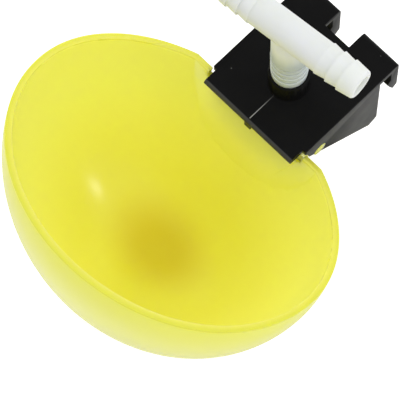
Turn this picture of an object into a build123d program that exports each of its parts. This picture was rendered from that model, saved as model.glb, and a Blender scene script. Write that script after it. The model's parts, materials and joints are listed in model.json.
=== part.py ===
from build123d import *
import os
from math import cos, radians, sin

# Weight-operated drinker: a tilting bowl hangs on two snap-in pins under a bracket that hooks
# over a cage wire, and a hose tee feeds the valve in the bracket's boss.
# Every piece is drawn in plate coordinates in millimetres: X across the bracket, Y rearward from
# the front edge of its lip, Z up from the top of its plate. The finished part's origin is where
# the cage wire touches the underside of the hook tabs.

os.makedirs("parts", exist_ok=True)

# Clearances
running_gap = 0.05
side_gap = 0.3
touch_gap = 0.1

# Bracket: plate, lip and side walls
bracket_width = 33.0
plate_thickness = 2.3
side_wall = 1.2
lip_depth = 4.6
lip_nose_flat = 0.1
notch_bottom_y = 32.5
wall_rear_y = 31.5
wall_front_low = (6.0, -5.8)
wall_rear_low = (28.7, -27.4)
wall_heel_z = -26.0
edge_round = 0.35
centre_line_width = 0.7
centre_line_height = 0.22
stop_tab_width = 2.0
stop_tab_depth = 1.3
stop_tab_drop = 2.4
stop_tab_set_back = 0.2

# Bracket: hooks over the cage wire, and the bar below that leans on the cage
hook_gap = 8.6
wire_channel = 4.2
hook_lip = 2.75
hook_drop = 14.6
hook_root = 1.0
hook_lead = 1.0
hook_chamfer = 1.3
barb_reach = 1.2
barb_start_z = -7.0
barb_tip_z = -8.6
barb_end_z = -12.2
hook_corner_radius = 1.6
bar_thickness = 2.6
bar_proud = 0.2
bar_top = -24.0
bar_bottom = -31.4
bar_chamfer = 0.8

# Bracket: valve housing on the plate
valve_y = 15.2
boss_height = 7.5
boss_radius = 5.4
boss_chamfer = 0.4
chamber_wall = 1.6

# Hinge pins that snap into the side walls
pivot_y = 9.88
pivot_z = -7.8
pin_radius = 2.0
ear_thickness = 1.5
ear_radius = 3.2
ear_foot = 14.0
ear_below_notch = 0.3

# Bowl: the lower half of an egg shape with a flat back, measured from its widest line
bowl_half_width = 46.6
bowl_front_length = 39.1
bowl_back_length = 35.2
bowl_depth = 49.7
bowl_wall = 1.7
bowl_rim_chamfer = 0.5
rim_overcut = 0.5
bowl_back_cut = 4.1
bowl_tilt = 19.1
back_to_pivot = 6.9
rim_above_pivot = 4.1
back_notch_gap = 0.4
back_notch_depth = 3.0
back_notch_round = 1.5

# Bowl: the tail that works the valve
tail_thickness = 3.0
tail_nose_radius = 1.2
tail_nose_length = 6.0
tail_web_share = 0.96
tail_reach = 4.4
tail_top = 12.0
tail_root = 19.0

# Hose tee
tee_height = 33.75
tee_yaw = 6.2
tee_half_length = 21.7
tube_radius = 4.25
tube_bore_radius = 2.75
barb_radius = 4.5
barb_root_radius = 4.0
barb_tip_length = 4.5
barb_pitch = 3.4
barbs_per_end = 3
arm_end_chamfer = 0.4
leg_radius = 4.85
leg_foot_radius = 4.35
leg_foot_z = 0.2
leg_neck_share = 0.75
ring_top_z = 19.5
ring_radius = 4.95
ring_taper = 0.15
ring_step = 0.3
ring_count = 4

# Valve
seal_thickness = 1.5
seal_hole_radius = 2.2
seat_thickness = 1.7
seat_hole_radius = 1.0
nozzle_radius = 1.7
nozzle_height = 0.6
nozzle_land = 0.2
chamber_radius = 3.6
cap_thickness = 1.4
cap_slot_width = 1.3
cap_slot_count = 4
cap_slot_land = 0.55
stem_radius = 1.5
stem_chamfer = 0.3
collar_radius = 3.2
collar_thickness = 0.8
collar_notch_radius = 0.7
spring_length = 4.0
plunger_head_radius = 2.1
valve_seal_radius = 1.8
valve_seal_thickness = 1.0
seal_sunk = 0.6
foot_below_cap = 2.6
spring_wire_radius = 0.16
spring_wire_sides = 6
spring_turns = 4.5
spring_room = 0.2
spring_end_gap = 0.02

# Levels and places worked out from the sizes above
half_width = bracket_width / 2
inner_half = half_width - side_wall
hook_inner_y = wall_rear_y + wire_channel
hook_outer_y = hook_inner_y + hook_lip
wire_seat_y = wall_rear_y + wire_channel / 2
socket_radius = leg_foot_radius + running_gap
seat_top = leg_foot_z - seal_thickness
chamber_top = seat_top - seat_thickness
collar_top = chamber_top - spring_length
cap_top = collar_top - collar_thickness - touch_gap
cap_bottom = cap_top - cap_thickness
foot_z = cap_bottom - foot_below_cap
housing_radius = chamber_radius + chamber_wall
bowl_back = bowl_back_length - bowl_back_cut
rim_to_pivot = bowl_back + back_to_pivot
nose_y = pivot_y + tail_reach
nose_z = foot_z - touch_gap - tail_nose_radius


def drawn_on_side(points, x_low, x_high):
    """A profile of (Y, Z) points, given its width between two X values."""
    face = Plane.YZ * Polygon(*points, align=None)
    return extrude(Location((x_low, 0, 0)) * face, amount=x_high - x_low, dir=(1, 0, 0))


def upright(radius, low, high, y=valve_y):
    """A round bar on the valve's axis between two levels."""
    bar = Cylinder(radius, high - low, align=(Align.CENTER, Align.CENTER, Align.MIN))
    return Location((0, y, low)) * bar


def turned(points):
    """A profile of (radius, Z) points turned round the valve's axis."""
    return Location((0, valve_y, 0)) * revolve(Plane.XZ * Polygon(*points, align=None), axis=Axis.Z)


def tilted_with_bowl(shape):
    """Moves what is drawn in the bowl's own rim plane to its raised place on the pivot."""
    to_pivot = Location((0, -rim_to_pivot, rim_above_pivot))
    return Location((0, pivot_y, pivot_z)) * Rot(-bowl_tilt, 0, 0) * to_pivot * shape


def in_bowl(y, z):
    """A point of the plate's (Y, Z) plane as it lies in the bowl's rim plane."""
    back = y - pivot_y
    up = z - pivot_z
    turn = radians(bowl_tilt)
    along = back * cos(turn) - up * sin(turn)
    across = back * sin(turn) + up * cos(turn)
    return rim_to_pivot + along, across - rim_above_pivot


def make_bracket():
    """Plate, walls, hooks, bar and valve housing: one moulding."""
    lip = Box(2 * inner_half, lip_depth + side_wall, plate_thickness, align=(Align.CENTER, Align.MIN, Align.MAX))
    front = lip.edges().filter_by(Axis.X).group_by(Axis.Y)[0]
    lip = fillet(front, plate_thickness / 2 - lip_nose_flat / 2)
    plate = Box(
        bracket_width,
        notch_bottom_y - lip_depth,
        plate_thickness,
        align=(Align.CENTER, Align.MIN, Align.MAX),
    )
    body = Location((0, lip_depth, 0)) * plate + lip
    wall_points = [(lip_depth, 0), wall_front_low, wall_rear_low, (wall_rear_y, wall_heel_z), (wall_rear_y, 0)]
    hook_points = [
        (wall_rear_y - hook_root, 0),
        (hook_outer_y, 0),
        (hook_outer_y, hook_chamfer - hook_drop),
        (hook_outer_y - hook_chamfer, -hook_drop),
        (hook_inner_y + hook_lead, -hook_drop),
        (hook_inner_y, barb_end_z),
        (hook_inner_y - barb_reach, barb_tip_z),
        (hook_inner_y, barb_start_z),
        (hook_inner_y, -plate_thickness),
        (wall_rear_y - hook_root, -plate_thickness),
    ]
    hook = drawn_on_side(hook_points, hook_gap / 2, half_width)
    top_corner = hook.edges().filter_by(Axis.X).filter_by_position(Axis.Y, hook_outer_y - 0.01, hook_outer_y + 0.01)
    hook = fillet(top_corner.filter_by_position(Axis.Z, -0.01, 0.01), hook_corner_radius)
    wall = drawn_on_side(wall_points, inner_half, half_width)
    hole = Location((half_width, pivot_y, pivot_z)) * Rot(0, 90, 0) * Cylinder(pin_radius + running_gap, 4 * side_wall)
    wall = wall - hole
    body = body + wall + mirror(wall, Plane.YZ) + hook + mirror(hook, Plane.YZ)
    rims = body.edges().filter_by_position(Axis.Z, -hook_corner_radius, 0.01)
    sides = rims.filter_by_position(Axis.X, half_width - 0.01, half_width + 0.01)
    sides = sides + rims.filter_by_position(Axis.X, -half_width - 0.01, 0.01 - half_width)
    body = fillet(sides, edge_round)
    bar_rear_y = wall_rear_y + bar_proud
    bar_points = [
        (bar_rear_y - bar_thickness, bar_top),
        (bar_rear_y - bar_thickness, bar_bottom + bar_chamfer),
        (bar_rear_y - bar_thickness + bar_chamfer, bar_bottom),
        (bar_rear_y, bar_bottom),
        (bar_rear_y, bar_top),
    ]
    body = body + drawn_on_side(bar_points, -inner_half, inner_half)
    line_points = [
        (-centre_line_width / 2, -centre_line_height),
        (centre_line_width / 2, -centre_line_height),
        (centre_line_width / 2, 0),
        (0, centre_line_height),
        (-centre_line_width / 2, 0),
    ]
    line = extrude(Plane.XZ * Polygon(*line_points, align=None), amount=valve_y, dir=(0, 1, 0))
    stop = Box(
        stop_tab_width,
        stop_tab_depth,
        stop_tab_drop + plate_thickness / 2,
        align=(Align.CENTER, Align.MIN, Align.MIN),
    )
    body = body + Location((0, plate_thickness / 2, 0)) * line
    body = body + Location((0, stop_tab_set_back, -plate_thickness - stop_tab_drop)) * stop
    boss = upright(boss_radius, chamber_top - chamber_wall, boss_height)
    boss_top = boss.edges().filter_by(GeomType.CIRCLE).sort_by(Axis.Z)[-1]
    body = body + chamfer(boss_top, boss_chamfer) + upright(housing_radius, cap_bottom, 0)
    body = body - upright(socket_radius, chamber_top, boss_height + 1)
    return body - upright(chamber_radius, cap_bottom - 1, chamber_top)


def make_bowl():
    """The egg-shaped shell with a flat back, its ears, pins and tail: one moulding."""
    shell = shell_part(bowl_front_length, Align.MAX) + shell_part(bowl_back_length, Align.MIN)
    notch = Box(bracket_width + 2 * back_notch_gap, 3 * bowl_wall, 2 * back_notch_depth)
    notch = fillet(notch.edges().filter_by(Axis.Y).group_by(Axis.Z)[0], back_notch_round)
    shell = shell - Location((0, bowl_back, 0)) * notch
    web = Polygon(
        (bowl_back - bowl_wall / 2, -back_notch_depth - ear_below_notch),
        (rim_to_pivot, ear_radius - rim_above_pivot),
        (rim_to_pivot, -ear_radius - rim_above_pivot),
        (bowl_back - bowl_wall / 2, -ear_foot),
        align=None,
    )
    lug = Location((rim_to_pivot, -rim_above_pivot)) * Circle(ear_radius)
    ear_inner = inner_half - side_gap - ear_thickness
    ear = extrude(Location((ear_inner, 0, 0)) * (Plane.YZ * (web + lug)), amount=ear_thickness, dir=(1, 0, 0))
    pin = Cylinder(pin_radius, half_width - ear_inner, align=(Align.CENTER, Align.CENTER, Align.MIN))
    pin = Location((ear_inner, rim_to_pivot, -rim_above_pivot)) * Rot(0, 90, 0) * pin
    ear = ear + pin
    nose_along, nose_level = in_bowl(nose_y, nose_z)
    web = Polygon(
        (bowl_back - bowl_wall / 2, -tail_top),
        (nose_along, nose_level + tail_nose_radius / 3),
        (nose_along, nose_level - tail_nose_radius * tail_web_share),
        (bowl_back - bowl_wall / 2, -tail_root),
        align=None,
    )
    tail = extrude(
        Location((-tail_thickness / 2, 0, 0)) * (Plane.YZ * web), amount=tail_thickness, dir=(1, 0, 0)
    )
    nose = Location((0, nose_along, nose_level)) * Rot(0, 90, 0) * Cylinder(tail_nose_radius, tail_nose_length)
    return tilted_with_bowl(shell + ear + mirror(ear, Plane.YZ) + tail + nose)


def shell_part(length, side):
    """The shell on one side of the bowl's widest line, its rim's edges taken off."""
    outer = ellipsoid_part(length, side, 0.0) & back_half_space(bowl_back)
    inner = ellipsoid_part(length, side, bowl_wall) & back_half_space(bowl_back - bowl_wall)
    shell = outer - inner
    rim = shell.edges().filter_by_position(Axis.Z, -0.01, 0.01)
    rim = rim.filter_by(lambda edge: abs(edge.center().Y) > bowl_wall)
    return chamfer(rim, bowl_rim_chamfer)


def ellipsoid_part(length, side, inset):
    """A quarter of an ellipsoid below the rim, each of its lengths less the inset."""
    room = 3 * bowl_half_width
    quarter = Box(room, room, room, align=(Align.CENTER, side, Align.MAX))
    if inset > 0:
        quarter = Location((0, 0, rim_overcut)) * quarter
    ball = scale(Sphere(1.0), by=(bowl_half_width - inset, length - inset, bowl_depth - inset))
    return ball & quarter


def back_half_space(y):
    """All that lies in front of the bowl's flat back."""
    room = 3 * bowl_half_width
    return Location((0, y, 0)) * Box(room, room, room, align=(Align.CENTER, Align.MAX, Align.CENTER))


def make_tee():
    """Two barbed arms and a leg whose ringed foot is pushed into the boss."""
    arm = [(0, 0), (0, tube_radius)]
    for number in range(barbs_per_end):
        edge = tee_half_length - barb_tip_length - (barbs_per_end - 1 - number) * barb_pitch
        if number == 0:
            arm.append((edge, tube_radius))
        else:
            arm.append((edge, barb_root_radius))
        arm.append((edge, barb_radius))
    arm.append((tee_half_length - arm_end_chamfer, barb_root_radius))
    arm.append((tee_half_length, barb_root_radius - arm_end_chamfer))
    arm.append((tee_half_length, 0))
    half = revolve(Plane.XY * Polygon(*arm, align=None), axis=Axis.X)
    arms = half + mirror(half, Plane.YZ)
    arms = Location((0, valve_y, tee_height)) * Rot(0, 0, tee_yaw) * arms
    leg = [(0, leg_foot_z), (leg_foot_radius, leg_foot_z), (leg_foot_radius, boss_height)]
    leg.append((ring_radius - ring_taper - ring_step / 2, boss_height))
    pitch = (ring_top_z - boss_height) / ring_count
    for number in range(1, ring_count + 1):
        rim = ring_radius - ring_taper * (ring_count - number) / ring_count
        level = boss_height + number * pitch
        leg.append((rim, level))
        leg.append((rim - ring_step, level))
    leg.append((leg_radius, ring_top_z + ring_step))
    leg.append((leg_radius, tee_height - tube_radius))
    leg.append((tube_radius * leg_neck_share, tee_height))
    leg.append((0, tee_height))
    tee = arms + turned(leg)
    bore = Cylinder(tube_bore_radius, 3 * tee_half_length)
    bore = Location((0, valve_y, tee_height)) * Rot(0, 0, tee_yaw) * Rot(0, 90, 0) * bore
    return tee - bore - upright(tube_bore_radius, leg_foot_z - 1, tee_height)


def make_inlet_seal():
    """Flat ring that the leg's foot presses on the valve seat."""
    return upright(leg_foot_radius, seat_top, leg_foot_z) - upright(seal_hole_radius, seat_top - 1, leg_foot_z + 1)


def make_valve_seat():
    """Disc on the chamber's ledge, with a nozzle that the valve closes on."""
    points = [
        (seat_hole_radius, seat_top),
        (socket_radius, seat_top),
        (socket_radius, chamber_top),
        (nozzle_radius, chamber_top),
        (seat_hole_radius + nozzle_land, chamber_top - nozzle_height),
        (seat_hole_radius, chamber_top - nozzle_height),
    ]
    return turned(points)


def round_the_axis(shape, count):
    """Copies of a shape in even turns about the valve's axis."""
    turns = []
    for number in range(count):
        turn = Location((0, valve_y, 0)) * Rot(0, 0, 45 + number * 360 / count) * Location((0, -valve_y, 0))
        turns.append(turn * shape)
    return turns


def make_guide_cap():
    """Disc that closes the chamber, guides the stem and lets the water through its slots."""
    cap = upright(chamber_radius, cap_bottom, cap_top)
    cap = cap - upright(stem_radius + 2 * running_gap, cap_bottom - 1, cap_top + 1)
    slot_inner = stem_radius + cap_slot_land
    slot_outer = chamber_radius - cap_slot_land
    slot = Box(slot_outer - slot_inner, cap_slot_width, 3 * cap_thickness)
    slot = Location(((slot_inner + slot_outer) / 2, valve_y, cap_bottom)) * slot
    for cutter in round_the_axis(slot, cap_slot_count):
        cap = cap - cutter
    return cap


def closed_seal_top():
    """Level of the valve's rubber when the valve stands open."""
    turn = radians(bowl_tilt)
    back = tail_reach
    down = nose_z - pivot_z
    risen = back * sin(turn) + down * cos(turn)
    return chamber_top - nozzle_height - (risen - down) - touch_gap


def make_plunger():
    """Stem, notched collar and head, with a seat for the valve's rubber."""
    seal_bottom = closed_seal_top() - valve_seal_thickness
    points = [
        (0, foot_z),
        (stem_radius - stem_chamfer, foot_z),
        (stem_radius, foot_z + stem_chamfer),
        (stem_radius, collar_top - collar_thickness),
        (collar_radius, collar_top - collar_thickness),
        (collar_radius, collar_top),
        (plunger_head_radius, collar_top),
        (plunger_head_radius, seal_bottom + seal_sunk),
        (valve_seal_radius, seal_bottom + seal_sunk),
        (valve_seal_radius, seal_bottom),
        (0, seal_bottom),
    ]
    plunger = turned(points)
    notch = Location((collar_radius, valve_y, collar_top)) * Cylinder(collar_notch_radius, 4 * collar_thickness)
    for cutter in round_the_axis(notch, cap_slot_count):
        plunger = plunger - cutter
    return plunger


def make_valve_seal():
    """Rubber disc in the plunger's head."""
    top = closed_seal_top()
    return upright(valve_seal_radius, top - valve_seal_thickness, top)


def make_spring():
    """Coil between the seat and the collar, with its two ends laid flat."""
    radius = (plunger_head_radius + collar_radius + spring_room) / 2
    height = spring_length - 2 * spring_wire_radius - 2 * spring_end_gap
    path = Helix(pitch=height / spring_turns, height=height, radius=radius)
    section = Plane(origin=path @ 0, z_dir=path % 0) * RegularPolygon(spring_wire_radius, spring_wire_sides)
    coil = sweep(section, path=path)
    return Location((0, valve_y, collar_top + spring_wire_radius + spring_end_gap)) * coil


nodes = {
    "bracket": make_bracket(),
    "bowl": make_bowl(),
    "hose_tee": make_tee(),
    "inlet_seal": make_inlet_seal(),
    "valve_seat": make_valve_seat(),
    "valve_guide_cap": make_guide_cap(),
    "valve_plunger": make_plunger(),
    "valve_seal": make_valve_seal(),
    "return_spring": make_spring(),
}

to_wire_seat = Location((0, -wire_seat_y, plate_thickness))
for name, shape in nodes.items():
    export_step(to_wire_seat * shape, f"parts/{name}.step")
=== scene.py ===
"""Finishes a packed drinker bowl: models the bowl, softens the mouldings, and sets the stage."""
import json
import math
from contextlib import contextmanager

import bpy
from mathutils import Matrix, Vector

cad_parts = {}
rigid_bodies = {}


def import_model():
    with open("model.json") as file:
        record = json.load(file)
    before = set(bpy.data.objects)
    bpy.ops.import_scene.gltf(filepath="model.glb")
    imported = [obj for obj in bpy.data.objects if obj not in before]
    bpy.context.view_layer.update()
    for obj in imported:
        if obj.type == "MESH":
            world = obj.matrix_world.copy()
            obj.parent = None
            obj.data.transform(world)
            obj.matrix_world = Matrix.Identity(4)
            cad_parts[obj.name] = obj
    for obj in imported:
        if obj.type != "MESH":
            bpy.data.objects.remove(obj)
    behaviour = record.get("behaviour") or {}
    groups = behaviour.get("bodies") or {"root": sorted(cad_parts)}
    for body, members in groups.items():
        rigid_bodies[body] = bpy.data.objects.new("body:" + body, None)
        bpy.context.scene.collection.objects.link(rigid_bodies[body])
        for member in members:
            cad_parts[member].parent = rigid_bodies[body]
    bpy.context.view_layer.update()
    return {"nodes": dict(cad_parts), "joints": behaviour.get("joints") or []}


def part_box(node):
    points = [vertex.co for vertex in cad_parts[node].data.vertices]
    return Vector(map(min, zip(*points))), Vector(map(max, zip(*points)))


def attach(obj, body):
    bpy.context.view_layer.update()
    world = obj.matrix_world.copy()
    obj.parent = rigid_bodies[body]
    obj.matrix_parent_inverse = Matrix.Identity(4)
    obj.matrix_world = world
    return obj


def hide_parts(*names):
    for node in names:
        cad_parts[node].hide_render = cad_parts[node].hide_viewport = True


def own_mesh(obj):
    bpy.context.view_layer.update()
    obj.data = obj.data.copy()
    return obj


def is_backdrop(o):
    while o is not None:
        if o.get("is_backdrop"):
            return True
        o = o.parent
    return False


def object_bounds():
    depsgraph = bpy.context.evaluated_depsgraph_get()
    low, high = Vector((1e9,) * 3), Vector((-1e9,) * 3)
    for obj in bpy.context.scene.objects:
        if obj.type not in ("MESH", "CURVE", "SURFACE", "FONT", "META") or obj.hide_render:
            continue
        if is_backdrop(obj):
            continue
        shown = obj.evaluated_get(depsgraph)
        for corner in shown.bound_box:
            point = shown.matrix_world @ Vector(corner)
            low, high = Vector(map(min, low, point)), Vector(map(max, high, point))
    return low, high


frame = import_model()

bl_info = {
    "name": "Tilting drinker bowl",
    "version": (1, 0, 0),
    "blender": (4, 5, 0),
    "location": "View3D > Sidebar > Drinker",
    "description": "Models and finishes a tilting drinker bowl on its cage bracket, with its hose tee",
    "category": "Object",
}

JOINTS = {joint["name"]: joint for joint in frame["joints"]}
MM = 0.001
ORIGIN = (0.0, 0.0, 0.0)
TO_CAGE = (0.0, 1.0, 0.0)
UP = (0.0, 0.0, 1.0)
WHITE = (1.0, 1.0, 1.0)

# Points nearer to each other than this are one point
SAME_PLACE = 0.001 * MM


# Settings


class ViewSettings(bpy.types.PropertyGroup):
    """Where the camera stands."""

    aim: bpy.props.FloatVectorProperty(
        name="Aim", description="Point that the camera looks at",
        default=(0.00642, -0.05647, 0.00199), subtype="TRANSLATION", unit="LENGTH",
    )
    distance: bpy.props.FloatProperty(
        name="Distance", description="From the camera to its aim", default=0.75, unit="LENGTH",
    )
    azimuth: bpy.props.FloatProperty(
        name="Azimuth", description="Turn round the object from straight in front",
        default=math.radians(47.81), unit="ROTATION",
    )
    elevation: bpy.props.FloatProperty(
        name="Elevation", description="Height of the view above the horizon",
        default=math.radians(72.0), unit="ROTATION",
    )
    roll: bpy.props.FloatProperty(
        name="Roll", description="Turn of the camera about its own view",
        default=math.radians(-2.70), unit="ROTATION",
    )
    lens: bpy.props.FloatProperty(
        name="Lens", description="Focal length on a 36 mm sensor",
        default=270.0, min=1.0, unit="CAMERA",
    )


class StageSettings(bpy.types.PropertyGroup):
    """Floor and studio light."""

    floor_glow: bpy.props.FloatProperty(
        name="Floor glow", description="Brightness added where the camera sees the floor",
        default=0.45, min=0.0,
    )
    floor_drop: bpy.props.FloatProperty(
        name="Floor drop", description="Gap between the bowl's underside and the floor",
        default=14.5 * MM, unit="LENGTH",
    )
    floor_colour: bpy.props.FloatVectorProperty(
        name="Floor colour", description="Colour of the floor",
        default=(0.92, 0.92, 0.92), size=3, subtype="COLOR",
    )
    world_strength: bpy.props.FloatProperty(
        name="World strength", description="Soft light from all round", default=0.8, min=0.0,
    )
    key_power: bpy.props.FloatProperty(
        name="Key power", description="Power of the large soft lamp above",
        default=2.8, min=0.0, unit="POWER",
    )
    window_power: bpy.props.FloatProperty(
        name="Window power", description="Power of the small lamp that glints in the bowl",
        default=0.85, min=0.0, unit="POWER",
    )


class BowlSettings(bpy.types.PropertyGroup):
    """Sizes and colours of the bowl, in its own rim plane."""

    half_width: bpy.props.FloatProperty(
        name="Half width", description="Half of the bowl across the hinge",
        default=46.59 * MM, unit="LENGTH",
    )
    front_length: bpy.props.FloatProperty(
        name="Front length", description="From the widest line to the front",
        default=39.09 * MM, unit="LENGTH",
    )
    back_length: bpy.props.FloatProperty(
        name="Back length", description="From the widest line to the back, if it weren't flat",
        default=35.2 * MM, unit="LENGTH",
    )
    depth: bpy.props.FloatProperty(
        name="Depth", description="From the rim to the bottom", default=49.69 * MM, unit="LENGTH",
    )
    wall: bpy.props.FloatProperty(
        name="Wall", description="Thickness of the bowl's wall", default=1.7 * MM, unit="LENGTH",
    )
    back: bpy.props.FloatProperty(
        name="Back", description="From the widest line to the flat back",
        default=31.1 * MM, unit="LENGTH",
    )
    back_round: bpy.props.FloatProperty(
        name="Back round", description="Rounding where the back meets the sides",
        default=3.0 * MM, unit="LENGTH",
    )
    rim_round: bpy.props.FloatProperty(
        name="Rim round", description="Rounding of the rim's edges", default=0.82 * MM, unit="LENGTH",
    )
    notch_width: bpy.props.FloatProperty(
        name="Notch width", description="Width of the low stretch of the back's rim",
        default=33.3 * MM, unit="LENGTH",
    )
    notch_depth: bpy.props.FloatProperty(
        name="Notch depth", description="How low the back's rim lies", default=3.0 * MM, unit="LENGTH",
    )
    rim_to_pivot: bpy.props.FloatProperty(
        name="Rim to pivot", description="From the widest line back to the hinge",
        default=38.0 * MM, unit="LENGTH",
    )
    rim_above_pivot: bpy.props.FloatProperty(
        name="Rim above pivot", description="Level of the rim over the hinge",
        default=4.1 * MM, unit="LENGTH",
    )
    tilt: bpy.props.FloatProperty(
        name="Tilt", description="How far the empty bowl's front is raised",
        default=math.radians(19.1), unit="ROTATION",
    )
    colour: bpy.props.FloatVectorProperty(
        name="Colour", description="Yellow of the bowl",
        default=(0.78, 0.735, 0.084), size=3, subtype="COLOR",
    )
    # Painted light: the yellow is painted lighter towards the rim
    rim_light_colour: bpy.props.FloatVectorProperty(
        name="Rim colour", description="Lighter yellow towards the rim",
        default=(0.98, 0.95, 0.22), size=3, subtype="COLOR",
    )
    # Painted shade: darkens the rim's top face, which the sky lights more than the inside
    rim_top_shade_tint: bpy.props.FloatVectorProperty(
        name="Rim top tint", description="What the rim's top face is multiplied by",
        default=(0.77, 0.765, 0.53), size=3, subtype="COLOR",
    )
    # Painted light: the outer face is painted paler than the inside, most of all lower down
    lit_outer_rim_colour: bpy.props.FloatVectorProperty(
        name="Outer rim colour", description="Outside of the wall just under the rim",
        default=(0.82, 0.82, 0.12), size=3, subtype="COLOR",
    )
    lit_outside_colour: bpy.props.FloatVectorProperty(
        name="Outside colour", description="Paler yellow of the outer face",
        default=(0.88, 0.89, 0.26), size=3, subtype="COLOR",
    )
    # Painted shadow: a darker yellow pool at the bottom, where the shade under the bowl shows through
    # the wall
    shadow_pool_colour: bpy.props.FloatVectorProperty(
        name="Pool colour", description="Deeper yellow of the thick bottom",
        default=(0.66, 0.565, 0.003), size=3, subtype="COLOR",
    )
    shadow_pool_place: bpy.props.FloatVectorProperty(
        name="Pool place", description="Middle of the deeper yellow, in shares of the bowl's lengths",
        default=(-0.02, 0.25, -0.93), size=3, subtype="NONE",
    )
    pool_size: bpy.props.FloatProperty(
        name="Pool size", description="Radius of the deeper yellow, in shares of the bowl's lengths",
        default=0.47,
    )


class BracketSettings(bpy.types.PropertyGroup):
    """Finish of the bracket."""

    edge_round: bpy.props.FloatProperty(
        name="Edge round", description="Rounding of the moulded edges",
        default=0.14 * MM, unit="LENGTH",
    )
    plate_top: bpy.props.FloatProperty(
        name="Plate top", description="Level of the plate's top", default=2.3 * MM, unit="LENGTH",
    )
    # Painted highlight: a grey band along the lip's round nose
    lip_highlight_band: bpy.props.FloatProperty(
        name="Worn lip", description="Width of the rubbed band along the lip",
        default=1.1 * MM, unit="LENGTH",
    )
    # Painted highlight along the parting line's crest
    line_highlight_length: bpy.props.FloatProperty(
        name="Line length", description="Length of the bright parting line",
        default=11.0 * MM, unit="LENGTH",
    )
    colour: bpy.props.FloatVectorProperty(
        name="Colour", description="Black of the bracket",
        default=(0.0040, 0.0040, 0.0041), size=3, subtype="COLOR",
    )
    # Grey of the painted highlight on the lip's round nose
    lip_highlight_colour: bpy.props.FloatVectorProperty(
        name="Worn colour", description="Grey of the rubbed lip",
        default=(0.055, 0.055, 0.056), size=3, subtype="COLOR",
    )
    # Grey of the painted highlight on the parting line's crest
    line_highlight_colour: bpy.props.FloatVectorProperty(
        name="Line colour", description="Pale grey of the parting line's crest",
        default=(0.34, 0.34, 0.33), size=3, subtype="COLOR",
    )
    dust_colour: bpy.props.FloatVectorProperty(
        name="Dust colour", description="Colour of the few dust specks",
        default=(0.09, 0.09, 0.085), size=3, subtype="COLOR",
    )


class ValveSettings(bpy.types.PropertyGroup):
    """Colours of the pieces inside the bracket."""

    white_colour: bpy.props.FloatVectorProperty(
        name="White colour", description="White of the valve's seat and plunger",
        default=(0.72, 0.72, 0.69), size=3, subtype="COLOR",
    )
    rubber_colour: bpy.props.FloatVectorProperty(
        name="Rubber colour", description="Black of the two seals",
        default=(0.02, 0.02, 0.02), size=3, subtype="COLOR",
    )
    cap_colour: bpy.props.FloatVectorProperty(
        name="Cap colour", description="Black of the guide cap",
        default=(0.006, 0.006, 0.006), size=3, subtype="COLOR",
    )
    steel_colour: bpy.props.FloatVectorProperty(
        name="Steel colour", description="Grey of the spring's drawn wire",
        default=(0.55, 0.55, 0.54), size=3, subtype="COLOR",
    )
    bright_steel_colour: bpy.props.FloatVectorProperty(
        name="Bright steel colour", description="Lighter streaks of the spring's wire",
        default=(0.72, 0.71, 0.69), size=3, subtype="COLOR",
    )


class TeeSettings(bpy.types.PropertyGroup):
    """Finish of the hose tee."""

    edge_round: bpy.props.FloatProperty(
        name="Edge round", description="Rounding of the moulded edges",
        default=0.18 * MM, unit="LENGTH",
    )
    colour: bpy.props.FloatVectorProperty(
        name="Colour", description="Milky white of the tee",
        default=(0.78, 0.805, 0.80), size=3, subtype="COLOR",
    )
    # Painted shade: the ringed leg is painted greyer than the arms
    leg_shade_colour: bpy.props.FloatVectorProperty(
        name="Leg colour", description="Greyer white of the ringed leg",
        default=(0.58, 0.64, 0.65), size=3, subtype="COLOR",
    )
    leg_top: bpy.props.FloatProperty(
        name="Leg top", description="Level where the leg meets the arms",
        default=34.0 * MM, unit="LENGTH",
    )
    ring_top: bpy.props.FloatProperty(
        name="Ring top", description="Level of the leg's highest ring",
        default=21.8 * MM, unit="LENGTH",
    )
    ring_pitch: bpy.props.FloatProperty(
        name="Ring pitch", description="Height of one ring of the leg", default=3.0 * MM, unit="LENGTH",
    )


# Shader nodes


def feed(tree, socket, value):
    """Links a socket to another, or sets it to a plain number, vector or colour."""
    if isinstance(value, bpy.types.NodeSocket):
        tree.links.new(value, socket)
    elif socket.type == "RGBA":
        socket.default_value = (*value, 1.0)
    else:
        socket.default_value = value


def feed_all(tree, node, values):
    """Feeds a node's inputs by their names."""
    for name, value in values.items():
        feed(tree, node.inputs[name], value)


def add_node(tree, kind, values, **options):
    """Adds a node, sets its options and feeds its inputs."""
    node = tree.nodes.new(kind)
    for name, option in options.items():
        setattr(node, name, option)
    feed_all(tree, node, values)
    return node


def calculate(tree, operation, *values, kind="ShaderNodeMath"):
    """The result of a Math or Vector Math node on sockets or plain numbers."""
    node = tree.nodes.new(kind)
    node.operation = operation
    for socket, value in zip(node.inputs, values):
        feed(tree, socket, value)
    return node.outputs["Value"]


def product(tree, first, second):
    """Two values multiplied."""
    return calculate(tree, "MULTIPLY", first, second)


def distance_from(tree, place, point):
    """Distance of a place from a point."""
    return calculate(tree, "DISTANCE", place, point, kind="ShaderNodeVectorMath")


def spread(tree, value, low, high, start=0.3, end=0.7, soft=False):
    """Goes from low to high while a value goes from start to end. Most of a noise is in 0.3 to 0.7."""
    ends = {"Value": value, "From Min": start, "From Max": end, "To Min": low, "To Max": high}
    kind = "SMOOTHERSTEP" if soft else "LINEAR"
    return add_node(tree, "ShaderNodeMapRange", ends, interpolation_type=kind).outputs["Result"]


def rise(tree, value, start, end):
    """Goes softly from 0 to 1 while a value goes from start to end."""
    return spread(tree, value, 0.0, 1.0, start, end, soft=True)


def fall(tree, value, start, end):
    """Goes softly from 1 to 0 while a value goes from start to end."""
    return spread(tree, value, 1.0, 0.0, start, end, soft=True)


def mix(tree, factor, first, second, blend="MIX"):
    """Mixes two colours, each a socket or a plain colour."""
    values = {"Factor": factor, "A": first, "B": second}
    return add_node(tree, "ShaderNodeMix", values, data_type="RGBA", blend_type=blend).outputs["Result"]


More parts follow.
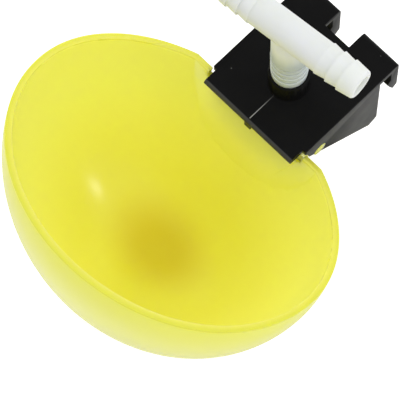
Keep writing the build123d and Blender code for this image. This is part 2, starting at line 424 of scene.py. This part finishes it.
def tinted(colour, red, green, blue):
    """A plain colour with its channels scaled."""
    return (colour[0] * red, colour[1] * green, colour[2] * blue)


def shaded(colour, share):
    """A plain colour made lighter or darker."""
    return tinted(colour, share, share, share)


def object_place(tree):
    """The Object coordinates."""
    return tree.nodes.new("ShaderNodeTexCoord").outputs["Object"]


def axes_of(tree, place):
    """A place's coordinates, by the names X, Y and Z."""
    return add_node(tree, "ShaderNodeSeparateXYZ", {"Vector": place}).outputs


def object_noise(tree, scale, detail=4.0, stretch=(1.0, 1.0, 1.0)):
    """Noise on Object coordinates. Its scale is in waves per metre."""
    stretched = add_node(tree, "ShaderNodeMapping", {"Vector": object_place(tree), "Scale": stretch})
    values = {"Vector": stretched.outputs["Vector"], "Scale": scale, "Detail": detail}
    return add_node(tree, "ShaderNodeTexNoise", values).outputs["Fac"]


def bump(tree, height, distance, strength):
    """A bump from a height value. Its distance is in metres."""
    values = {"Height": height, "Distance": distance, "Strength": strength}
    return add_node(tree, "ShaderNodeBump", values).outputs["Normal"]


# Materials


def new_material(name):
    """An empty node material with its tree and shader."""
    material = bpy.data.materials.new(name)
    material.use_nodes = True
    return material, material.node_tree, material.node_tree.nodes["Principled BSDF"]


def lip_highlight_band(tree, tone, bracket):
    """Paints a grey highlight along the lip's round nose."""
    axes = axes_of(tree, object_place(tree))
    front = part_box("bracket")[0][1]
    top = bracket.plate_top
    band = bracket.lip_highlight_band
    near_lip = fall(tree, axes["Y"], start=front + 0.6 * band, end=front + band)
    above_nose = rise(tree, axes["Z"], start=top - 1.1 * band, end=top - 0.7 * band)
    return mix(tree, product(tree, near_lip, above_nose), tone, bracket.lip_highlight_colour)


def parting_line_highlight(tree, tone, bracket):
    """Paints a pale highlight on the crest of the parting line, on the plate only and most of all near
    the lip.
    """
    axes = axes_of(tree, object_place(tree))
    lip_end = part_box("bracket")[0][1] + bracket.lip_highlight_band
    top = bracket.plate_top
    aside = calculate(tree, "ABSOLUTE", axes["X"])
    crest = fall(tree, aside, start=0.06 * MM, end=0.17 * MM)
    along = fall(tree, axes["Y"], start=lip_end, end=lip_end + bracket.line_highlight_length)
    over_plate = spread(tree, axes["Z"], 0.0, 1.0, start=top + 0.04 * MM, end=top + 0.12 * MM)
    under_boss = spread(tree, axes["Z"], 1.0, 0.0, start=top + 0.24 * MM, end=top + 0.3 * MM)
    line = product(tree, product(tree, crest, along), product(tree, over_plate, under_boss))
    return mix(tree, line, tone, bracket.line_highlight_colour)


def black_plastic(bracket):
    """Satin black moulding with a fine grain, slight haze, a few pale dust specks, and painted
    highlights on the lip's round nose and the parting line's crest.
    """
    material, tree, shader = new_material("black_plastic")
    haze = spread(tree, object_noise(tree, scale=90.0), 0.0, 1.0)
    tone = mix(tree, haze, bracket.colour, shaded(bracket.colour, 1.35))
    # Painted highlight on the lip's round nose
    tone = lip_highlight_band(tree, tone, bracket)
    # Painted highlight on the parting line's crest
    tone = parting_line_highlight(tree, tone, bracket)
    specks = object_noise(tree, scale=900.0, detail=0.0)
    dust = spread(tree, specks, 0.0, 1.0, start=0.88, end=0.9)
    grain = object_noise(tree, scale=2600.0, detail=2.0)
    feed_all(tree, shader, {
        "Base Color": mix(tree, dust, tone, bracket.dust_colour),
        "IOR": 1.165,
        "Roughness": spread(tree, object_noise(tree, scale=260.0), low=0.36, high=0.40),
        "Normal": bump(tree, grain, distance=0.02 * MM, strength=0.5),
    })
    return material


def bowl_place(tree, bowl):
    """Places in the bowl's rim plane, in shares of its lengths, so that its outer face is at 1."""
    level = add_node(tree, "ShaderNodeMapping", {
        "Vector": object_place(tree),
        "Location": bowl_matrix(bowl).to_translation(),
        "Rotation": (-bowl.tilt, 0.0, 0.0),
        "Scale": (bowl.half_width, bowl.front_length, bowl.depth),
    }, vector_type="TEXTURE")
    axes = axes_of(tree, level.outputs["Vector"])
    behind = calculate(tree, "MAXIMUM", axes["Y"], 0.0)
    stretch = bowl.front_length / bowl.back_length - 1.0
    along = calculate(tree, "MULTIPLY_ADD", behind, stretch, axes["Y"])
    shares = {"X": axes["X"], "Y": along, "Z": axes["Z"]}
    return add_node(tree, "ShaderNodeCombineXYZ", shares).outputs["Vector"]


def bowl_tone(tree, bowl):
    """The bowl's yellow with painted light and shade: a painted shadow pool at the bottom, painted
    light towards the rim and on the outer face, and painted shade on the rim's top.
    """
    flow = object_noise(tree, scale=45.0, detail=3.0, stretch=(1.0, 1.0, 0.5))
    thin = tinted(bowl.colour, red=1.02, green=1.025, blue=1.25)
    tone = mix(tree, rise(tree, flow, start=0.15, end=0.85), bowl.colour, thin)
    place = bowl_place(tree, bowl)
    level = axes_of(tree, place)["Z"]
    from_shadow_pool = distance_from(tree, place, tuple(bowl.shadow_pool_place))
    from_middle = distance_from(tree, place, ORIGIN)
    # Painted light towards the rim
    tone = mix(tree, rise(tree, from_shadow_pool, start=0.3, end=1.25), tone, bowl.rim_light_colour)
    # Painted shadow pool at the bottom
    tone = mix(tree, fall(tree, from_shadow_pool, start=0.04, end=bowl.pool_size), tone, bowl.shadow_pool_colour)
    # Painted light on the outer face
    low_down = fall(tree, level, start=-0.45, end=0.05)
    lit_outer_tone = mix(tree, low_down, bowl.lit_outer_rim_colour, bowl.lit_outside_colour)
    tone = mix(tree, rise(tree, from_middle, start=0.962, end=0.999), tone, lit_outer_tone)
    # Painted shade on the rim's top, less on its outer side
    at_top = rise(tree, level, start=-0.02, end=-0.002)
    inwards = spread(tree, from_middle, 1.0, 0.85, start=0.965, end=0.992, soft=True)
    return mix(tree, product(tree, at_top, inwards), tone, bowl.rim_top_shade_tint, blend="MULTIPLY")


def yellow_plastic(bowl):
    """Translucent yellow moulding with flow marks and a soft shine."""
    material, tree, shader = new_material("yellow_plastic")
    patches = object_noise(tree, scale=220.0)
    ripple = object_noise(tree, scale=160.0, detail=1.0)
    feed_all(tree, shader, {
        "Base Color": bowl_tone(tree, bowl),
        "Subsurface Weight": 1.0,
        "Subsurface Radius": (1.0, 0.95, 0.3),
        "Subsurface Scale": 4.0 * MM,
        "IOR": 1.38,
        "Roughness": spread(tree, patches, low=0.21, high=0.255, start=0.2, end=0.8, soft=True),
        "Normal": bump(tree, ripple, distance=0.04 * MM, strength=0.3),
    })
    return material


def ring_groove_shade(tree, level, tee):
    """Where painted shade falls: 1 in the grooves between the leg's rings, and 0 on the rings and above
    them.
    """
    pitch = tee.ring_pitch
    above = calculate(tree, "SUBTRACT", level, tee.ring_top)
    in_ring = calculate(tree, "FLOORED_MODULO", above, pitch)
    groove = fall(tree, in_ring, start=0.1 * pitch, end=0.45 * pitch)
    on_rings = spread(tree, level, 1.0, 0.0, start=tee.ring_top, end=tee.ring_top + 0.3 * pitch)
    return product(tree, groove, on_rings)


def natural_plastic(tee):
    """Milky unpigmented plastic with painted shade: greyer on the leg and darker in its grooves."""
    material, tree, shader = new_material("natural_plastic")
    cloud = spread(tree, object_noise(tree, scale=120.0, detail=3.0), 0.0, 1.0)
    warm = tinted(tee.colour, red=0.985, green=0.995, blue=0.93)
    tone = mix(tree, cloud, tee.colour, warm)
    level = axes_of(tree, object_place(tree))["Z"]
    on_leg = fall(tree, level, start=tee.ring_top, end=tee.leg_top)
    # Painted shade on the leg
    tone = mix(tree, on_leg, tone, tee.leg_shade_colour)
    # Painted shade in the grooves between the leg's rings
    tone = mix(tree, ring_groove_shade(tree, level, tee), tone, shaded(tee.leg_shade_colour, 0.78))
    grain = object_noise(tree, scale=900.0, detail=3.0)
    feed_all(tree, shader, {
        "Base Color": tone,
        "Subsurface Weight": 0.8,
        "Subsurface Radius": (1.0, 1.0, 0.85),
        "Subsurface Scale": 3.0 * MM,
        "IOR": 1.42,
        "Roughness": spread(tree, object_noise(tree, scale=300.0), low=0.30, high=0.42),
        "Normal": bump(tree, grain, distance=0.025 * MM, strength=0.4),
    })
    return material


def plain_plastic(name, colour, roughness):
    """Moulded plastic or rubber of the valve's inner pieces."""
    material, tree, shader = new_material(name)
    cloud = spread(tree, object_noise(tree, scale=400.0), 0.0, 1.0)
    patches = object_noise(tree, scale=700.0)
    grain = object_noise(tree, scale=2400.0, detail=2.0)
    feed_all(tree, shader, {
        "Base Color": mix(tree, cloud, colour, shaded(colour, 0.85)),
        "Roughness": spread(tree, patches, low=roughness, high=roughness + 0.12),
        "Normal": bump(tree, grain, distance=0.01 * MM, strength=0.5),
    })
    return material


def spring_steel(valve):
    """Drawn steel wire."""
    material, tree, shader = new_material("spring_steel")
    streak = object_noise(tree, scale=1800.0, detail=3.0, stretch=(1.0, 1.0, 4.0))
    brighter = spread(tree, streak, 0.0, 1.0)
    feed_all(tree, shader, {
        "Base Color": mix(tree, brighter, valve.steel_colour, valve.bright_steel_colour),
        "Metallic": 1.0,
        "Roughness": spread(tree, streak, low=0.22, high=0.4),
        "Normal": bump(tree, streak, distance=0.006 * MM, strength=0.5),
    })
    return material


# Tools for objects and meshes


def finish_node(name, material):
    """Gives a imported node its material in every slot."""
    node = frame["nodes"][name]
    for part in [node, *node.children_recursive]:
        if part.type != "MESH":
            continue
        if not part.data.materials:
            part.data.materials.append(material)
        for slot in part.material_slots:
            slot.material = material


def dress(piece, material):
    """Gives a new piece its only material."""
    piece.data.materials.clear()
    piece.data.materials.append(material)


def select_only(obj):
    """Makes one object the selected and active one."""
    bpy.ops.object.select_all(action="DESELECT")
    obj.select_set(True)
    bpy.context.view_layer.objects.active = obj


@contextmanager
def edit_mode(obj, whole=True):
    """Opens an object in edit mode, with its whole mesh selected or only what was picked."""
    select_only(obj)
    bpy.ops.object.mode_set(mode="EDIT")
    if whole:
        bpy.ops.mesh.select_all(action="SELECT")
    yield
    bpy.ops.object.mode_set(mode="OBJECT")


def pick(obj, vertex_test=None, edge_test=None):
    """Selects only the vertices or the edges that pass a test, in object mode."""
    mesh = obj.data
    for group in (mesh.vertices, mesh.edges, mesh.polygons):
        group.foreach_set("select", [False] * len(group))
    bpy.context.tool_settings.mesh_select_mode = (vertex_test is not None, edge_test is not None, False)
    if vertex_test:
        for vertex in mesh.vertices:
            vertex.select = vertex_test(vertex.co)
    if edge_test:
        for edge in mesh.edges:
            edge.select = edge_test(*(mesh.vertices[index].co for index in edge.vertices))


def apply_modifier(obj, kind, **settings):
    """Adds one modifier and applies it."""
    select_only(obj)
    modifier = obj.modifiers.new(kind.title(), kind)
    for key, value in settings.items():
        setattr(modifier, key, value)
    bpy.ops.object.modifier_apply(modifier=modifier.name)


def join_shapes(target, tool, operation):
    """Unites two closed meshes, or cuts one from the other, and removes the tool."""
    apply_modifier(target, "BOOLEAN", operation=operation, object=tool, solver="EXACT")
    bpy.data.objects.remove(tool, do_unlink=True)


def place_in_mesh(obj, matrix=None):
    """Moves the mesh by a matrix and leaves the object at the origin."""
    if matrix is not None:
        obj.matrix_world = matrix @ obj.matrix_world
    select_only(obj)
    bpy.ops.object.transform_apply(location=True, rotation=True, scale=True)


def shade_smooth(obj, degrees):
    """Shades an object smooth, except where its faces turn by more than an angle."""
    select_only(obj)
    bpy.ops.object.shade_smooth_by_angle(angle=math.radians(degrees))


def copy_of_node(name, new_name):
    """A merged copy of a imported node's mesh, to be worked on."""
    copy = frame["nodes"][name].copy()
    copy.data = copy.data.copy()
    copy.name = new_name
    copy.parent = None
    bpy.context.scene.collection.objects.link(copy)
    with edit_mode(copy):
        bpy.ops.mesh.remove_doubles(threshold=SAME_PLACE)
    return copy


def cut_away(obj, point, normal, outer=True):
    """Cuts the whole mesh at a plane, clears one side and closes the cut."""
    with edit_mode(obj):
        bpy.ops.mesh.bisect(
            plane_co=point, plane_no=normal, use_fill=True, clear_outer=outer, clear_inner=not outer,
        )


def soften_edges(obj, width, sharp, smooth):
    """Merges flat triangles, rounds edges sharper than an angle and shades slight ones smooth."""
    with edit_mode(obj):
        bpy.ops.mesh.dissolve_limited(angle_limit=math.radians(1.5))
    apply_modifier(
        obj, "BEVEL", width=width, segments=2, limit_method="ANGLE", angle_limit=math.radians(sharp),
        use_clamp_overlap=True, harden_normals=False,
    )
    with edit_mode(obj):
        bpy.ops.mesh.quads_convert_to_tris()
    place_in_mesh(obj)
    shade_smooth(obj, smooth)


# The bowl's place and shape


def bowl_matrix(bowl):
    """From the bowl's rim plane to its raised place on the hinge."""
    pivot = Matrix.Translation(Vector(JOINTS["bowl_hinge"]["pos_m"]))
    raised = Matrix.Rotation(-bowl.tilt, 4, "X")
    return pivot @ raised @ Matrix.Translation(Vector((0.0, -bowl.rim_to_pivot, bowl.rim_above_pivot)))


def egg_block(bowl, inset, top):
    """The bowl's solid egg shape up to a level, each of its lengths less the inset."""
    front = bowl.front_length - inset
    back = bowl.back - inset
    bpy.ops.object.select_all(action="DESELECT")
    bpy.ops.mesh.primitive_uv_sphere_add(segments=192, ring_count=128, radius=1.0, location=ORIGIN)
    block = bpy.context.active_object
    with edit_mode(block):
        size = (bowl.half_width - inset, front, bowl.depth - inset)
        bpy.ops.transform.resize(value=size, center_override=ORIGIN)
    pick(block, vertex_test=lambda point: point.y > SAME_PLACE)
    with edit_mode(block, whole=False):
        shorten = (1.0, (bowl.back_length - inset) / front, 1.0)
        bpy.ops.transform.resize(value=shorten, center_override=ORIGIN)
    cut_away(block, (0.0, back, 0.0), TO_CAGE)
    pick(block, edge_test=lambda first, second: min(first.y, second.y) > back - SAME_PLACE)
    with edit_mode(block, whole=False):
        bpy.ops.mesh.bevel(offset=bowl.back_round, segments=4, affect="EDGES", clamp_overlap=True)
    cut_away(block, (0.0, 0.0, top), UP)
    with edit_mode(block):
        bpy.ops.mesh.normals_make_consistent(inside=False)
    return block


def cut_notch(shell, bowl):
    """Lowers the middle stretch of the back's rim, with round corners."""
    middle = (0.0, bowl.back, 0.0)
    bpy.ops.object.select_all(action="DESELECT")
    bpy.ops.mesh.primitive_cube_add(size=1.0, location=middle)
    block = bpy.context.active_object
    with edit_mode(block):
        size = (bowl.notch_width, 4.0 * bowl.wall, 2.0 * bowl.notch_depth)
        bpy.ops.transform.resize(value=size, center_override=middle)
    place_in_mesh(block)

    def low_and_along(first, second):
        return max(first.z, second.z) < 0.0 and abs(first.y - second.y) > bowl.wall

    pick(block, edge_test=low_and_along)
    with edit_mode(block, whole=False):
        bpy.ops.mesh.bevel(offset=0.5 * bowl.notch_depth, segments=6, affect="EDGES")
    join_shapes(shell, block, "DIFFERENCE")


def bowl_shell(bowl):
    """The egg-shaped wall with its flat back, in the rim's own plane."""
    shell = egg_block(bowl, inset=0.0, top=0.0)
    shell.name = "bowl_moulding"
    join_shapes(shell, egg_block(bowl, inset=bowl.wall, top=bowl.wall), "DIFFERENCE")
    cut_notch(shell, bowl)
    apply_modifier(
        shell, "BEVEL", width=bowl.rim_round, segments=4, limit_method="ANGLE",
        angle_limit=math.radians(60.0),
    )
    return shell


def bowl_fittings(bowl):
    """The ears with their pins, and the tail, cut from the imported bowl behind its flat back."""
    fittings = copy_of_node("bowl", "bowl_fittings")
    place_in_mesh(fittings, bowl_matrix(bowl).inverted())
    clear = 0.03 * MM
    into_wall = 0.5 * bowl.wall
    cut_away(fittings, (0.0, bowl.back + clear, 0.0), TO_CAGE, outer=False)
    pick(fittings, vertex_test=lambda point: point.y < bowl.back + 2.0 * clear)
    with edit_mode(fittings, whole=False):
        bpy.ops.transform.translate(value=(0.0, -into_wall, 0.0))
    return fittings


# Steps that make the pieces


class DRINKER_OT_bracket(bpy.types.Operator):
    """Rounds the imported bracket's edges and gives it its black moulded finish."""

    bl_idname = "drinker.bracket"
    bl_label = "Bracket"

    def execute(self, context):
        bracket = context.scene.drinker_bracket
        moulding = copy_of_node("bracket", "bracket_moulding")
        # The parting line's slopes turn by about 32 degrees, and keep their edges
        soften_edges(moulding, bracket.edge_round, sharp=50.0, smooth=28.0)
        dress(moulding, black_plastic(bracket))
        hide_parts("bracket")
        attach(moulding, "bracket_body")
        return {"FINISHED"}


class DRINKER_OT_valve(bpy.types.Operator):
    """Finishes the valve's pieces inside the bracket."""

    bl_idname = "drinker.valve"
    bl_label = "Valve"

    def execute(self, context):
        valve = context.scene.drinker_valve
        white = plain_plastic("white_plastic", valve.white_colour, roughness=0.35)
        rubber = plain_plastic("rubber", valve.rubber_colour, roughness=0.6)
        cap = plain_plastic("cap_plastic", valve.cap_colour, roughness=0.4)
        finish_node("valve_seat", white)
        finish_node("valve_plunger", white)
        finish_node("valve_guide_cap", cap)
        finish_node("inlet_seal", rubber)
        finish_node("valve_seal", rubber)
        return {"FINISHED"}


class DRINKER_OT_spring(bpy.types.Operator):
    """Makes the spring a smooth-shaded steel coil that rides on the plunger."""

    bl_idname = "drinker.spring"
    bl_label = "Spring"

    def execute(self, context):
        coil = copy_of_node("return_spring", "spring_coil")
        place_in_mesh(coil)
        shade_smooth(coil, degrees=65.0)
        dress(coil, spring_steel(context.scene.drinker_valve))
        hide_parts("return_spring")
        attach(coil, "plunger_body")
        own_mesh(coil)
        return {"FINISHED"}


class DRINKER_OT_bowl(bpy.types.Operator):
    """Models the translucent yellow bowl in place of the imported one."""

    bl_idname = "drinker.bowl"
    bl_label = "Bowl"

    def execute(self, context):
        bowl = context.scene.drinker_bowl
        shell = bowl_shell(bowl)
        join_shapes(shell, bowl_fittings(bowl), "UNION")
        place_in_mesh(shell, bowl_matrix(bowl))
        shade_smooth(shell, degrees=35.0)
        dress(shell, yellow_plastic(bowl))
        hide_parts("bowl")
        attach(shell, "bowl_body")
        return {"FINISHED"}


class DRINKER_OT_tee(bpy.types.Operator):
    """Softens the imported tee's edges as a mould does, and gives it its milky finish."""

    bl_idname = "drinker.tee"
    bl_label = "Hose tee"

    def execute(self, context):
        tee = context.scene.drinker_tee
        moulding = copy_of_node("hose_tee", "tee_moulding")
        soften_edges(moulding, tee.edge_round, sharp=32.0, smooth=35.0)
        dress(moulding, natural_plastic(tee))
        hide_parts("hose_tee")
        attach(moulding, "bracket_body")
        return {"FINISHED"}


# Camera, floor and light


class DRINKER_OT_camera(bpy.types.Operator):
    """Sets the camera at the photograph's viewing angle."""

    bl_idname = "drinker.camera"
    bl_label = "Camera"

    def execute(self, context):
        view = context.scene.drinker_view
        turn = Matrix.Rotation(view.azimuth, 4, "Z")
        turn = turn @ Matrix.Rotation(math.radians(90.0) - view.elevation, 4, "X")
        turn = turn @ Matrix.Rotation(view.roll, 4, "Z")
        bpy.ops.object.camera_add()
        camera = context.active_object
        camera.name = "camera"
        camera.data.lens = view.lens
        camera.data.sensor_width = 36.0
        camera.data.clip_start = 0.01
        camera.data.clip_end = 20.0
        away = turn @ Vector((0.0, 0.0, view.distance))
        camera.matrix_world = Matrix.Translation(Vector(view.aim) + away) @ turn
        context.scene.camera = camera
        return {"FINISHED"}


def where_seen(tree, plain, seen):
    """One value for light on the object, another where the camera sees the backdrop itself."""
    path = tree.nodes.new("ShaderNodeLightPath")
    return spread(tree, path.outputs["Is Camera Ray"], low=plain, high=seen, start=0.0, end=1.0)


def pale_floor(stage):
    """Matt floor that the camera sees brighter than the object does."""
    material, tree, shader = new_material("pale_floor")
    feed_all(tree, shader, {
        "Base Color": stage.floor_colour,
        "Roughness": 0.9,
        "Specular IOR Level": 0.1,
        "Emission Color": WHITE,
        "Emission Strength": where_seen(tree, plain=0.0, seen=stage.floor_glow),
    })
    return material


def studio_world(stage):
    """Soft light from all round, seen as plain white."""
    world = bpy.data.worlds.new("studio")
    world.use_nodes = True
    tree = world.node_tree
    feed_all(tree, tree.nodes["Background"], {
        "Color": WHITE,
        "Strength": where_seen(tree, plain=stage.world_strength, seen=1.0),
    })
    return world


def area_lamp(name, place, aim, size, power):
    """A round soft lamp that points at a place."""
    light = bpy.data.lights.new(name, "AREA")
    light.shape = "DISK"
    light.size = size
    light.energy = power
    lamp = bpy.data.objects.new(name, light)
    bpy.context.scene.collection.objects.link(lamp)
    lamp.location = place
    lamp.rotation_mode = "QUATERNION"
    lamp.rotation_quaternion = (Vector(aim) - Vector(place)).to_track_quat("-Z", "Y")
    return lamp


class DRINKER_OT_stage(bpy.types.Operator):
    """Lays the pale floor and sets the soft studio light."""

    bl_idname = "drinker.stage"
    bl_label = "Stage"

    def execute(self, context):
        stage = context.scene.drinker_stage
        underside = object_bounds()[0].z
        bpy.ops.object.select_all(action="DESELECT")
        bpy.ops.mesh.primitive_plane_add(size=12.0, location=(0.0, 0.0, underside - stage.floor_drop))
        floor = context.active_object
        floor.name = "floor"
        dress(floor, pale_floor(stage))
        floor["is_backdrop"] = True
        context.scene.world = studio_world(stage)
        key = area_lamp(
            "key", place=(-0.5, 0.25, 0.9), aim=(0.0, -0.05, 0.0), size=0.5, power=stage.key_power,
        )
        key.visible_glossy = False
        area_lamp(
            "window", place=(0.62, 0.2, 0.53), aim=(-0.02, -0.066, -0.03), size=0.15,
            power=stage.window_power,
        )
        context.scene.view_settings.view_transform = "Standard"
        return {"FINISHED"}


# Panel and registration


class DRINKER_PT_panel(bpy.types.Panel):
    """Lists the steps that make the drinker."""

    bl_idname = "DRINKER_PT_panel"
    bl_label = "Drinker"
    bl_space_type = "VIEW_3D"
    bl_region_type = "UI"
    bl_category = "Drinker"

    def draw(self, context):
        for operator in OPERATORS:
            self.layout.operator(operator.bl_idname)


SETTINGS = {
    "drinker_view": ViewSettings,
    "drinker_stage": StageSettings,
    "drinker_bowl": BowlSettings,
    "drinker_bracket": BracketSettings,
    "drinker_valve": ValveSettings,
    "drinker_tee": TeeSettings,
}
OPERATORS = (
    DRINKER_OT_bracket,
    DRINKER_OT_valve,
    DRINKER_OT_spring,
    DRINKER_OT_bowl,
    DRINKER_OT_tee,
    DRINKER_OT_camera,
    DRINKER_OT_stage,
)


def register():
    """Adds the settings, operators and panel."""
    for name, group in SETTINGS.items():
        bpy.utils.register_class(group)
        setattr(bpy.types.Scene, name, bpy.props.PointerProperty(type=group))
    for operator in OPERATORS:
        bpy.utils.register_class(operator)
    bpy.utils.register_class(DRINKER_PT_panel)


def unregister():
    """Takes the panel, operators and settings away."""
    bpy.utils.unregister_class(DRINKER_PT_panel)
    for operator in reversed(OPERATORS):
        bpy.utils.unregister_class(operator)
    for name, group in reversed(SETTINGS.items()):
        delattr(bpy.types.Scene, name)
        bpy.utils.unregister_class(group)


def main():
    """Makes the whole scene."""
    register()
    bpy.ops.drinker.bracket()
    bpy.ops.drinker.valve()
    bpy.ops.drinker.spring()
    bpy.ops.drinker.bowl()
    bpy.ops.drinker.tee()
    bpy.ops.drinker.camera()
    bpy.ops.drinker.stage()


if __name__ == "__main__":
    main()
